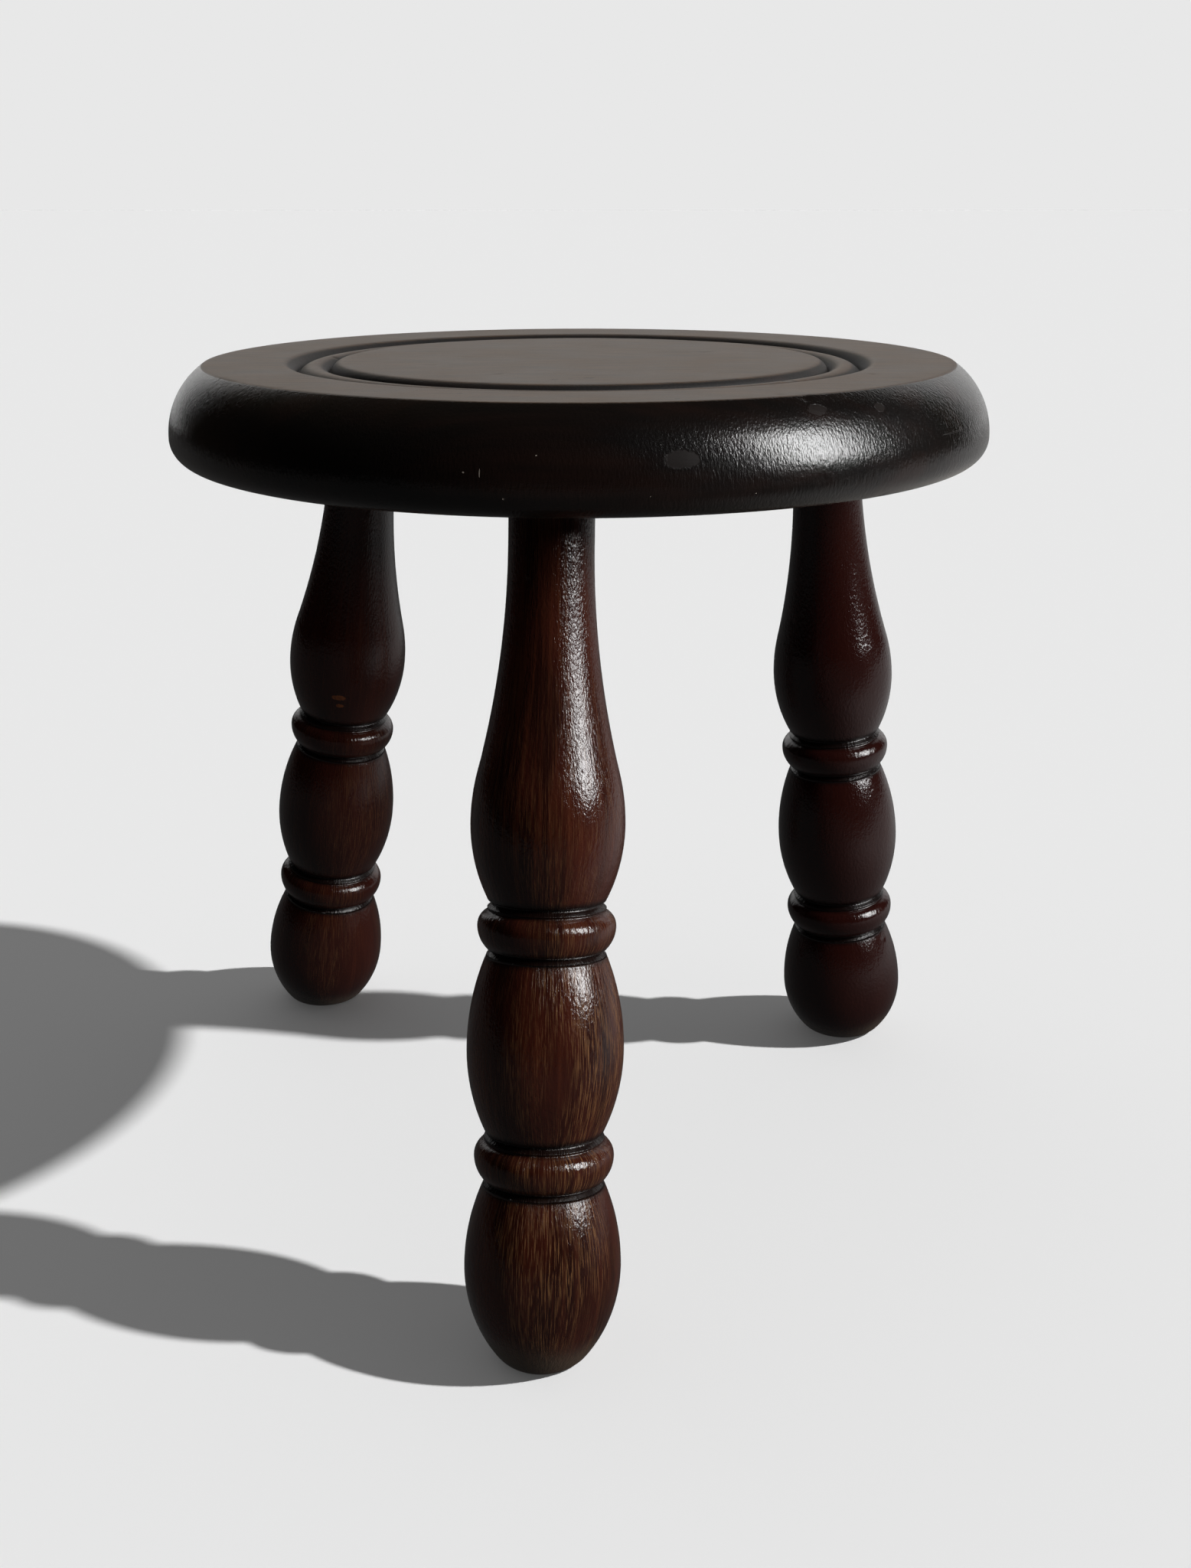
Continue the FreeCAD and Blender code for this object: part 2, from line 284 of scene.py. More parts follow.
class StageSettings(bpy.types.PropertyGroup):
    """Floor, light and camera"""

    pale: grey("Pale ground", "Colour of the floor and the backdrop", 0.807)
    floor_width: size("Floor width", "Width of the square floor", 60.0)
    bounce: grey("Floor bounce", "Colour that the floor throws back onto the stool", 0.10)
    shadow_lift: grey("Shadow lift", "Light that the floor keeps in the shadow", 0.05)
    fill: grey("Fill light", "Soft light from above on the softbox's side", 0.04)
    back_fill: grey("Back fill", "Soft light on the side that the camera doesn't see", 0.30)
    back_bearing: angle("Back bearing", "Where the back fill comes from", 110.0)
    screen: grey("Screens", "Colour of the dark screens that the polish reflects", 0.003)
    screen_distance: size("Screen distance", "Distance of the dark screens", 3.0)
    screen_end: size("Screen end", "How far back the dark screens reach", 3.6)
    floor_gleam: grey("Floor gleam", "Floor at the back right, as the polish reflects it", 0.42)
    gleam_base: share("Gleam elsewhere", "Share of that gleam on the rest of the floor", 0.12)
    softbox_power: FloatProperty(
        name="Softbox power", description="Power of the softbox that lights the stool", default=46.0,
        unit="POWER",
    )
    softbox_bearing: angle("Softbox bearing", "Where the softbox stands, about the upright axis", -19.2)
    softbox_height: angle("Softbox height", "Height of the softbox over the seat", 25.0)
    softbox_distance: size("Softbox distance", "Distance of the softbox from the seat", 2.0)
    softbox_width: size("Softbox width", "Width of the softbox", 0.58)
    softbox_tall: size("Softbox tall", "Height of the softbox from edge to edge", 1.10)
    shadow_strength: number("Floor light", "Light of the lamp that casts the shadow on the floor", 3.86)
    shadow_bearing: angle("Floor light bearing", "Where the floor's light comes from", 0.3)
    shadow_height: angle("Floor light height", "Height of the floor's light", 39.9)
    shadow_width: angle("Floor light width", "Width of the floor's lamp as the floor sees it", 1.5)
    camera_place: FloatVectorProperty(
        name="Camera place", description="Where the camera stands", size=3, unit="LENGTH",
        default=(0.0509, -0.6320, 0.0593),
    )
    camera_tilt: angle("Camera tilt", "How far the camera looks down", 19.685)
    camera_turn: angle("Camera turn", "How far the camera turns to the left", 4.083)
    camera_roll: angle("Camera roll", "How far the camera leans", -0.062)
    photo_focal_pixels: number("Focal length", "Focal length in pixels of the photograph", 2176.6)
    photo_height_pixels: number("Photograph height", "Height of the photograph in pixels", 2048)


# Node trees

class Value:
    """Output socket of a node. Arithmetic on it adds Math nodes to the same tree."""

    def __init__(self, graph, socket):
        self.graph = graph
        self.socket = socket

    def math(self, operation, *values):
        """Math node of this operation on these values."""
        return self.graph.node("ShaderNodeMath", {"operation": operation}, dict(enumerate(values)))

    def __add__(self, other):
        return self.math("ADD", self, other)

    def __radd__(self, other):
        return self.math("ADD", other, self)

    def __sub__(self, other):
        return self.math("SUBTRACT", self, other)

    def __rsub__(self, other):
        return self.math("SUBTRACT", other, self)

    def __mul__(self, other):
        return self.math("MULTIPLY", self, other)

    def __rmul__(self, other):
        return self.math("MULTIPLY", other, self)

    def most(self, other):
        """The larger of two values."""
        return self.math("MAXIMUM", self, other)

    def magnitude(self):
        """The value without its sign."""
        return self.math("ABSOLUTE", self)


class Graph:
    """Builds the nodes of one tree, for a material, the world or a mesh."""

    def __init__(self, tree):
        self.tree = tree

    def node(self, kind, settings=None, sockets=None, out=0):
        """Adds a node of a type, with its settings set first and then its sockets filled."""
        made = self.tree.nodes.new(kind)
        for name, value in (settings or {}).items():
            setattr(made, name, value)
        for key, value in (sockets or {}).items():
            self.fill(self.pick(made.inputs, key), value)
        if made.outputs:
            return Value(self, self.pick(made.outputs, out))

    def pick(self, sockets, key):
        """Socket by its name or by its number among those in use."""
        in_use = [socket for socket in sockets if socket.enabled]
        if isinstance(key, int):
            return in_use[key]
        return next(socket for socket in in_use if socket.name == key)

    def fill(self, socket, value):
        """Links a socket to another node's output, or sets its own value."""
        if isinstance(value, Value):
            self.tree.links.new(value.socket, socket)
        elif socket.type == "RGBA":
            socket.default_value = (*value, 1)
        else:
            socket.default_value = value

    def vector(self, operation, first, second=None, out=0):
        """Vector Math on one or two vectors."""
        sockets = {0: first} if second is None else {0: first, 1: second}
        return self.node("ShaderNodeVectorMath", {"operation": operation}, sockets, out)

    def parts(self, vector):
        """The three numbers of a vector."""
        return [self.node("ShaderNodeSeparateXYZ", None, {0: vector}, axis) for axis in "XYZ"]

    def joined(self, x, y, z):
        """Vector of three numbers."""
        return self.node("ShaderNodeCombineXYZ", None, {0: x, 1: y, 2: z})

    def scaled(self, place, factors):
        """Place with each axis scaled by its own factor."""
        return self.vector("MULTIPLY", place, factors)

    def noise(self, place, scale, detail=2.0, roughness=0.5):
        """Noise about one half, with a feature size of one over the scale."""
        sockets = {"Vector": place, "Scale": scale, "Detail": detail, "Roughness": roughness}
        return self.node("ShaderNodeTexNoise", None, sockets)

    def specks(self, place, scale):
        """Distance to the nearest of scattered points, in units of their spacing."""
        return self.node("ShaderNodeTexVoronoi", None, {"Vector": place, "Scale": scale}, "Distance")

    def ramp(self, value, low, high):
        """Smooth step from 0 at low to 1 at high."""
        sockets = {"Value": value, "From Min": low, "From Max": high}
        return self.node("ShaderNodeMapRange", {"interpolation_type": "SMOOTHSTEP"}, sockets)

    def blend(self, factor, first, second):
        """Colour between two colours."""
        sockets = {"Factor": factor, "A": first, "B": second}
        return self.node("ShaderNodeMix", {"data_type": "RGBA"}, sockets)

    def attribute(self, name, out="Fac"):
        """Value of a named attribute of the mesh, in a material."""
        return self.node("ShaderNodeAttribute", {"attribute_name": name}, None, out)

    def bump(self, height, distance, strength=1.0):
        """Normal of a surface with this relief."""
        sockets = {"Strength": strength, "Distance": distance, "Height": height}
        return self.node("ShaderNodeBump", None, sockets)


def new_shape_tree(name, inputs):
    """Geometry tree with named inputs and one mesh as its result."""
    tree = bpy.data.node_groups.new(name, "GeometryNodeTree")
    tree.interface.new_socket("Mesh", in_out="OUTPUT", socket_type="NodeSocketGeometry")
    for label, kind in inputs:
        tree.interface.new_socket(label, in_out="INPUT", socket_type="NodeSocket" + kind)
    graph = Graph(tree)
    source = tree.nodes.new("NodeGroupInput")
    return graph, {socket.name: Value(graph, socket) for socket in source.outputs if socket.name}


def close_shape_tree(graph, mesh, material):
    """Ends a geometry tree in a real mesh with its material."""
    smooth = graph.node("GeometryNodeSetShadeSmooth", None, {"Geometry": mesh})
    real = graph.node("GeometryNodeRealizeInstances", None, {"Geometry": smooth})
    finished = graph.node("GeometryNodeSetMaterial", None, {"Geometry": real, "Material": material})
    end = graph.tree.nodes.new("NodeGroupOutput")
    graph.fill(end.inputs["Mesh"], finished)
    return graph.tree


def turned_blank(graph, given):
    """Mesh turned about the upright axis from the rows of a section, a little out of round."""
    columns = given["Segments"] + 1
    sockets = {"Size X": 1.0, "Size Y": 1.0, "Vertices X": columns, "Vertices Y": given["Rows"]}
    grid = graph.node("GeometryNodeMeshGrid", None, sockets)
    place = graph.node("GeometryNodeInputPosition")
    across, along, _ = graph.parts(place)
    row_place = (along + 0.5) * (given["Rows"] - 1)
    row = graph.node("FunctionNodeFloatToInt", {"rounding_mode": "ROUND"}, {0: row_place})
    sockets = {"Object": given["Section"]}
    section = graph.node("GeometryNodeObjectInfo", {"transform_space": "ORIGINAL"}, sockets, "Geometry")
    sampled = {}
    for name, kind, field in (
        ("place", "FLOAT_VECTOR", place),
        ("hollow", "FLOAT", row_value(graph, "hollow")),
        ("tenon", "FLOAT", row_value(graph, "tenon")),
    ):
        settings = {"data_type": kind, "domain": "POINT"}
        sockets = {"Geometry": section, "Value": field, "Index": row}
        sampled[name] = graph.node("GeometryNodeSampleIndex", settings, sockets)
    radius, _, height = graph.parts(sampled["place"])
    turn = (across + 0.5) * math.tau
    cosine = turn.math("COSINE", turn)
    sine = turn.math("SINE", turn)
    sway_place = graph.joined(cosine, sine, height * SWAY_PER_METRE + given["Seed"])
    sway = graph.noise(sway_place, SWAY_SCALE, detail=1)
    radius = radius * (1 + (sway - 0.5) * given["Out of round"])
    turned = graph.joined(radius * cosine, radius * sine, height)
    # A row is found by its place in the grid, so its values are stored before the points move
    for name in ("hollow", "tenon"):
        grid = stored(graph, grid, name, "FLOAT", sampled[name])
    mesh = graph.node("GeometryNodeSetPosition", None, {"Geometry": grid, "Position": turned})
    return graph.node("GeometryNodeMergeByDistance", None, {"Geometry": mesh, "Distance": WELD_DISTANCE})


def row_value(graph, name):
    """Value that a section gives to each of its rows."""
    return graph.node("GeometryNodeInputNamedAttribute", {"data_type": "FLOAT"}, {0: name})


def stored(graph, mesh, name, kind, value):
    """Mesh with a named attribute on its points."""
    settings = {"data_type": kind, "domain": "POINT"}
    sockets = {"Geometry": mesh, "Name": name, "Value": value}
    return graph.node("GeometryNodeStoreNamedAttribute", settings, sockets)


def bruised(graph, mesh, given):
    """Mesh with shallow bruises pressed into it here and there."""
    place = graph.node("GeometryNodeInputPosition")
    seeded = graph.vector("ADD", place, graph.joined(given["Seed"], 0.0, 0.0))
    distance = graph.specks(seeded, 1 / DENT_SPACING) * DENT_SPACING
    dent = 1 - graph.ramp(distance, 0.0, given["Dent size"])
    normal = graph.node("GeometryNodeInputNormal")
    offset = graph.scaled(normal, graph.joined(dent, dent, dent))
    depth = 0 - given["Dent depth"]
    offset = graph.scaled(offset, graph.joined(depth, depth, depth))
    return graph.node("GeometryNodeSetPosition", None, {"Geometry": mesh, "Offset": offset})


# Inputs that the trees of the seat and of the legs share
TURNING_INPUTS = (
    ("Section", "Object"),
    ("Rows", "Int"),
    ("Segments", "Int"),
    ("Out of round", "Float"),
    ("Dent size", "Float"),
    ("Dent depth", "Float"),
    ("Seed", "Float"),
    ("Material", "Material"),
)


def seat_tree():
    """Tree of the seat: a turned and bruised disc."""
    graph, given = new_shape_tree("turned seat", TURNING_INPUTS)
    mesh = bruised(graph, turned_blank(graph, given), given)
    return close_shape_tree(graph, mesh, given["Material"])


def leg_tree():
    """Tree of a leg: turned upright, cut to the floor and the seat at its slope, then set in place."""
    places = (
        ("Slope", "Float"), ("Length", "Float"), ("Edge", "Float"), ("Stain", "Float"),
        ("Foot", "Vector"), ("Lean", "Vector"),
    )
    graph, given = new_shape_tree("turned leg", TURNING_INPUTS + places)
    mesh = bruised(graph, turned_blank(graph, given), given)
    x, y, z = graph.parts(graph.node("GeometryNodeInputPosition"))
    tenon = row_value(graph, "tenon")
    rise = x * given["Slope"]
    soled = z.math("SMOOTH_MAX", z, 0 - rise, given["Edge"])
    past_seat = (soled - given["Length"] + rise).most(0.0)
    cut = graph.joined(x, y, soled - past_seat * (1 - tenon))
    mesh = graph.node("GeometryNodeSetPosition", None, {"Geometry": mesh, "Position": cut})
    x, y, z = graph.parts(graph.node("GeometryNodeInputPosition"))
    outwards = graph.vector("NORMALIZE", graph.joined(x, y, 0.0))
    cosine, sine, _ = graph.parts(outwards)
    grain_place = graph.joined(cosine * GRAIN_RADIUS + given["Seed"], sine * GRAIN_RADIUS, z)
    mesh = stored(graph, mesh, "turned", "FLOAT_VECTOR", grain_place)
    # Each leg's share of painted shade, stored as the attribute named stain
    mesh = stored(graph, mesh, "stain", "FLOAT", given["Stain"])
    sockets = {"Geometry": mesh, "Translation": given["Foot"], "Rotation": given["Lean"]}
    mesh = graph.node("GeometryNodeTransform", None, sockets)
    return close_shape_tree(graph, mesh, given["Material"])


# Turned sections, as rows of points at a radius and a height

class Section:
    """Half section of a turned piece, drawn from its start as lines and arcs."""

    def __init__(self, start, spacing):
        self.points = [start]
        self.spacing = spacing
        self.quirks = []
        self.tenon_start = None

    def line(self, end, spacing=None):
        """Straight rows from the last point to an end."""
        start = self.points[-1]
        steps = max(1, math.ceil((end - start).length / (spacing or self.spacing)))
        self.points += [start.lerp(end, step / steps) for step in range(1, steps + 1)]

    def arc(self, centre, radius, from_angle, to_angle):
        """Rows round a centre, from one angle to another."""
        steps = max(2, math.ceil(radius * abs(to_angle - from_angle) / self.spacing))
        for step in range(1, steps + 1):
            turn = from_angle + (to_angle - from_angle) * step / steps
            self.points.append(centre + radius * Vector((math.cos(turn), math.sin(turn))))

    def swell(self, crown, end, outwards):
        """Arc between a crown, where it stands upright, and an end."""
        run = end.y - crown.y
        fall = crown.x - end.x
        radius = (run ** 2 + fall ** 2) / (2 * fall)
        turn = math.asin(run / radius)
        centre = Vector((crown.x - radius, crown.y))
        self.arc(centre, radius, *((turn, 0.0) if outwards else (0.0, turn)))

    def swell_out(self, crown):
        """Round from the last point out to a crown, where it stands upright."""
        self.swell(crown, self.points[-1], outwards=True)

    def swell_in(self, end):
        """Round from the last point, a crown, in to its end."""
        self.swell(self.points[-1], end, outwards=False)

    def groove(self, corners):
        """Straight cuts from corner to corner, each corner eased over its own distance."""
        before = self.points[-1]
        for number_of_corner, (corner, ease) in enumerate(corners[:-1]):
            after = corners[number_of_corner + 1][0]
            enter = corner + (before - corner).normalized() * ease
            leave = corner + (after - corner).normalized() * ease
            self.line(enter, GROOVE_SPACING)
            steps = math.ceil(2 * ease / GROOVE_SPACING)
            for step in range(1, steps + 1):
                way = step / steps
                self.points.append(enter.lerp(corner, way).lerp(corner.lerp(leave, way), way))
            before = corner
        self.line(corners[-1][0], GROOVE_SPACING)

    def under_ring(self, quirk, arris, ease):
        """Narrow quirk between the swell below and the ring that starts above it."""
        self.groove((
            (quirk + Vector((0, -arris)), ease),
            (quirk + Vector((-arris, 0)), ease / 4),
            (quirk + Vector((0, arris / 8)), ease),
            (quirk + Vector((arris / 2, arris / 2)), 0),
        ))
        self.quirks.append(quirk + Vector((-arris / 2, -arris / 4)))

    def over_ring(self, quirk, arris, ease):
        """Groove, arris and hollow between the ring below and the swell that starts above them."""
        self.groove((
            (quirk + Vector((0, -2.6 * arris)), ease / 4),
            (quirk + Vector((arris / 2, -2.0 * arris)), ease / 4),
            (quirk + Vector((-arris, -0.7 * arris)), ease / 2),
            (quirk + Vector((-arris, 0)), ease / 4),
            (quirk + Vector((0, arris / 8)), ease / 2),
            (quirk + Vector((arris / 4, arris / 2)), 0),
        ))
        self.quirks.append(quirk + Vector((-arris / 2, -arris / 2)))

    def ogee(self, neck, round_share):
        """Round and hollow from the last point, a crown, to a neck, upright at both ends."""
        crown = self.points[-1]
        turn = 2 * math.atan2(crown.x - neck.x, neck.y - crown.y)
        radii = (neck.y - crown.y) / math.sin(turn)
        outer = round_share * radii
        inner = radii - outer
        self.arc(Vector((crown.x - outer, crown.y)), outer, 0.0, turn)
        self.arc(Vector((neck.x + inner, neck.y)), inner, math.pi + turn, math.pi)

    def level_round(self, flat_edge, quirk, to_flat):
        """Round between a level flat's edge and the quirk beside it."""
        run = quirk.x - flat_edge.x
        fall = flat_edge.y - quirk.y
        radius = (run ** 2 + fall ** 2) / (2 * fall)
        turn = math.pi / 2 - math.asin(run / radius)
        centre = Vector((flat_edge.x, flat_edge.y - radius))
        self.arc(centre, radius, *((turn, math.pi / 2) if to_flat else (math.pi / 2, turn)))
        self.quirks.append(quirk)

    def to_object(self, name):
        """Helper object, outside the scene, with the section's rows as points."""
        mesh = bpy.data.meshes.new(name)
        mesh.from_pydata([(point.x, 0, point.y) for point in self.points], [], [])
        # The hollow value is one at a quirk; the finishes use it to darken the quirks with dirt and
        # painted shade, and to roughen them
        hollow = mesh.attributes.new("hollow", "FLOAT", "POINT")
        tenon = mesh.attributes.new("tenon", "FLOAT", "POINT")
        for row, point in enumerate(self.points):
            nearest = min((point - quirk).length for quirk in self.quirks)
            hollow.data[row].value = max(0.0, 1 - nearest / SHADE_AND_DIRT_REACH)
            tenon.data[row].value = float(self.tenon_start is not None and row > self.tenon_start)
        return bpy.data.objects.new(name, mesh)


def seat_section(seat):
    """Seat from the middle of its underside, round the rim, to the middle of its top."""
    lower_corner = Vector((SEAT_RADIUS - seat.rim_lower_round, UNDERSIDE_LEVEL + seat.rim_lower_round))
    girth = Vector((SEAT_RADIUS, -seat.rim_round_height))
    rim_inner = Vector((seat.top_ring_diameter / 2, 0))
    outer_quirk = Vector((rim_inner.x - seat.outer_hollow_width, -seat.quirk_depth))
    inner_quirk = Vector((outer_quirk.x - seat.bead_width, -seat.quirk_depth))
    disc_edge = Vector((inner_quirk.x - seat.inner_hollow_width, 0))
    section = Section(Vector((0, UNDERSIDE_LEVEL)), seat.row_spacing)
    section.line(Vector((lower_corner.x, UNDERSIDE_LEVEL)), 2 * seat.flat_spacing)
    section.arc(lower_corner, seat.rim_lower_round, -math.pi / 2, 0.0)
    section.line(girth)
    run = seat.rim_round_height
    radius = (run ** 2 + seat.rim_round_width ** 2) / (2 * seat.rim_round_width)
    section.arc(Vector((SEAT_RADIUS - radius, girth.y)), radius, 0.0, math.asin(run / radius))
    section.line(rim_inner, seat.flat_spacing / 2)
    section.level_round(rim_inner, outer_quirk, to_flat=False)
    rise = seat.quirk_depth - seat.bead_drop
    half_width = seat.bead_width / 2
    bead_radius = (half_width ** 2 + rise ** 2) / (2 * rise)
    bead_turn = math.asin(half_width / bead_radius)
    bead_centre = Vector((outer_quirk.x - half_width, -seat.bead_drop - bead_radius))
    section.arc(bead_centre, bead_radius, math.pi / 2 - bead_turn, math.pi / 2 + bead_turn)
    section.level_round(disc_edge, inner_quirk, to_flat=True)
    section.line(Vector((0, 0)), seat.flat_spacing)
    return section


def leg_section(legs, leg_length, slope, foot_flat):
    """Leg from the end of its egg foot up to the end of its tenon."""
    lower_quirk = legs.lower_ring_diameter / 2 - legs.ring_quirk_depth
    upper_quirk = legs.upper_ring_diameter / 2 - legs.ring_quirk_depth
    trim = legs.turned_length - leg_length
    foot_top = legs.foot_height - trim
    foot_crown = legs.foot_crown_height - trim
    lower_ring_top = foot_top + legs.lower_ring_height
    barrel_top = lower_ring_top + legs.barrel_height
    upper_ring_top = barrel_top + legs.upper_ring_height
    foot_radius = legs.foot_diameter / 2
    fall = foot_radius - foot_flat / 2
    egg_radius = (foot_crown ** 2 + fall ** 2) / (2 * fall)
    egg_turn = math.acos(1 - foot_radius / egg_radius)
    egg_end = foot_crown - egg_radius * math.sin(egg_turn)
    section = Section(Vector((0, egg_end)), legs.row_spacing)
    section.arc(Vector((foot_radius - egg_radius, foot_crown)), egg_radius, -egg_turn, 0.0)
    barrel_crown = lower_ring_top + legs.barrel_crown_share * legs.barrel_height
    barrel = Vector((legs.barrel_diameter / 2, barrel_crown))
    vase = Vector((legs.vase_diameter / 2, upper_ring_top + legs.vase_crown_height))
    arris = legs.arris
    for diameter, quirk, low, high, next_crown in (
        (legs.lower_ring_diameter, lower_quirk, foot_top, lower_ring_top, barrel),
        (legs.upper_ring_diameter, upper_quirk, barrel_top, upper_ring_top, vase),
    ):
        section.swell_in(Vector((quirk + arris / 2, low - 1.5 * arris)))
        section.under_ring(Vector((quirk, low)), arris, legs.edge_ease)
        section.swell_out(Vector((diameter / 2, (low + high) / 2)))
        section.swell_in(Vector((quirk + arris / 4, high - 3.0 * arris)))
        section.over_ring(Vector((quirk, high)), arris, legs.edge_ease)
        section.swell_out(next_crown)
    neck = Vector((legs.neck_diameter / 2, leg_length - legs.neck_length))
    section.ogee(neck, legs.vase_round_share)
    shoulder = leg_length + neck.x * slope
    tenon_end = leg_length + legs.tenon_length
    section.line(Vector((neck.x, shoulder)))
    section.line(Vector((legs.tenon_diameter / 2, shoulder)), neck.x)
    section.tenon_start = len(section.points) - 1
    section.line(Vector((legs.tenon_diameter / 2, tenon_end)), tenon_end)
    section.line(Vector((0, tenon_end)), tenon_end)
    return section


def leg_stance(legs, name):
    """Foot's centre, bearing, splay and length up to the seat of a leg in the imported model."""
    foot = MOUNT_PLACES[name + "_foot"]
    bearing = math.atan2(foot.y, foot.x)
    splay = math.atan((foot.xy.length - legs.mortise_circle_radius) / UNDERSIDE_HEIGHT)
    return foot, bearing, splay, UNDERSIDE_HEIGHT / math.cos(splay)


# Pieces

def turned_piece(name, tree, settings, section, values):
    """Object whose plain mesh is the tree's result for a section and these values."""
    rows = section.to_object(name + " section")
    values = {
        "Section": rows,
        "Rows": len(section.points),
        "Segments": settings.segments,
        "Out of round": settings.out_of_round,
        "Dent size": settings.dent_size,
        "Dent depth": settings.dent_depth,
        **values,
    }
    piece = bpy.data.objects.new(name, bpy.data.meshes.new(name))
    bpy.context.scene.collection.objects.link(piece)
    modifier = piece.modifiers.new("Shape", "NODES")
    modifier.node_group = tree
    for item in tree.interface.items_tree:
        if item.in_out == "INPUT":
            modifier[item.identifier] = values[item.name]
    bake_modifiers(piece)
    bpy.data.objects.remove(rows)
    return piece


def bake_modifiers(piece):
    """Makes the result of a piece's modifiers its plain mesh."""
    depsgraph = bpy.context.evaluated_depsgraph_get()
    evaluated = piece.evaluated_get(depsgraph)
    mesh = bpy.data.meshes.new_from_object(evaluated, preserve_all_data_layers=True, depsgraph=depsgraph)
    piece.modifiers.clear()
    piece.data = mesh
    mesh.name = piece.name


def mortise_cutter(legs):
    """Three pegs, one on each leg's axis, that leave the blind mortises in the seat."""
    cutter = bmesh.new()
    root = legs.neck_length
    for name in LEG_NAMES:
        foot, bearing, splay, leg_length = leg_stance(legs, name)
        depth = root + legs.tenon_length + legs.mortise_relief
        radius = legs.tenon_diameter / 2 + legs.mortise_clearance
        lean = Matrix.Translation(foot) @ Euler((0, -splay, bearing)).to_matrix().to_4x4()
        place = lean @ Matrix.Translation((0, 0, leg_length - root + depth / 2))
        bmesh.ops.create_cone(
            cutter, cap_ends=True, segments=legs.segments // 2,
            radius1=radius, radius2=radius, depth=depth, matrix=place,
        )
    mesh = bpy.data.meshes.new("mortise pegs")
    cutter.to_mesh(mesh)
    cutter.free()
    pegs = bpy.data.objects.new("mortise_pegs", mesh)
    bpy.context.scene.collection.objects.link(pegs)
    return pegs


def cut_mortises(seat_piece, legs, wood):
    """Cuts the blind mortises into the seat's underside, all of one wood."""
    pegs = mortise_cutter(legs)
    cut = seat_piece.modifiers.new("Mortises", "BOOLEAN")
    cut.operation = "DIFFERENCE"
    cut.solver = "EXACT"
    cut.object = pegs
    bake_modifiers(seat_piece)
    bpy.data.objects.remove(pegs)
    seat_piece.data.materials.clear()
    seat_piece.data.materials.append(wood)


# Finishes

def new_finish(name):
    """Empty material and the graph that its nodes go into."""
    material = bpy.data.materials.new(name)
    material.use_nodes = True
    material.node_tree.nodes.clear()
    return material, Graph(material.node_tree)


def close_finish(graph, sockets):
    """Ends a material in one shader with these sockets."""
    shader = graph.node("ShaderNodeBsdfPrincipled", None, sockets)
    graph.node("ShaderNodeOutputMaterial", None, {"Surface": shader})


def mark_distance(graph, place, mark):
    """One at the ragged edge of an oval mark, and less inside it."""
    bearing, radius, height, width, tall = mark
    turn = math.radians(bearing)
    sockets = {
        "Vector": place,
        "Location": (radius * MM * math.cos(turn), radius * MM * math.sin(turn), height * MM),
        "Rotation": (0, 0, turn),
        "Scale": (max(width, tall) / 2 * MM, width / 2 * MM, tall / 2 * MM),
    }
    own_place = graph.node("ShaderNodeMapping", {"vector_type": "TEXTURE"}, sockets)
    ragged = graph.noise(place, RAGGED_SCALE) - 0.5
    return graph.vector("LENGTH", own_place, None, "Value") + ragged * RAGGED_SHARE


def marked(graph, place, marks):
    """One inside any of these oval marks, with soft edges."""
    inside = 0.0
    for mark in marks:
        distance = mark_distance(graph, place, mark)
        inside = graph.ramp(distance, MARK_OUTSIDE_SHARE, MARK_INSIDE_SHARE).most(inside)
    return inside


def leg_wood(legs):
    """Dark red-brown stained wood with fine golden pores, crinkled polish and scuffed feet."""
    material, graph = new_finish("leg wood")
    place = graph.attribute("turned", "Vector")
    hollow = graph.attribute("hollow")
    stain = graph.attribute("stain")
    _, _, height = graph.parts(place)
    tone = graph.noise(graph.scaled(place, (1, 1, 0.25)), scale=60, detail=3)
    streak = graph.noise(graph.scaled(place, (1, 1, 0.04)), scale=520, detail=3, roughness=0.6)
    pores = graph.noise(graph.scaled(place, (1, 1, 0.03)), scale=4000, detail=1, roughness=0.6)
    open_grain = graph.noise(graph.scaled(place, (1, 1, 0.3)), scale=48)
    worn = graph.noise(place, scale=38, detail=3)
    crinkle = graph.noise(graph.scaled(place, (1, 1, 0.6)), scale=1000, roughness=0.6)
    tint = graph.blend(graph.ramp(tone, 0.32, 0.66), legs.dark, legs.brown)
    tint = graph.blend(graph.ramp(streak, 0.46, 0.72) * 0.4, tint, legs.warm)
    lower = legs.pore_base + (1 - legs.pore_base) * graph.ramp(height, legs.pore_end, legs.pore_full)
    lines = graph.ramp(pores, 0.54, 0.61) * graph.ramp(open_grain, 0.36, 0.62)
    # Painted shade: each leg is darkened by its share, the back legs most, and its golden pores are
    # hidden
    lines = lines * lower * (1 - stain)
    tint = graph.blend(lines * 0.5, tint, legs.pore)
    tint = graph.blend(stain, tint, legs.stain)
    left_place = graph.vector("SUBTRACT", place, (LEG_SEEDS["left"], 0, 0))
    tint = graph.blend(marked(graph, left_place, LEFT_LEG_SPOTS) * worn, tint, legs.rubbed)
    scuff = graph.ramp(height + (worn - 0.5) * legs.scuff_sway, legs.scuff_end, legs.scuff_full)
    tint = graph.blend(scuff * 0.7, tint, legs.scuff)
    # Dirt and painted shade darken the quirks
    shade_and_grime = graph.ramp(hollow, 0.2, 0.75)
    tint = graph.blend(shade_and_grime * 0.92, tint, legs.grime_and_shade)
    rough = legs.roughness + (worn - 0.5) * 0.12 + lines * 0.05 + scuff * 0.3 + shade_and_grime * 0.12
    normal = graph.bump(crinkle - lines * 0.12 + streak * 0.08, legs.relief)
    close_finish(graph, {"Base Color": tint, "Roughness": rough, "Normal": normal})
    return material


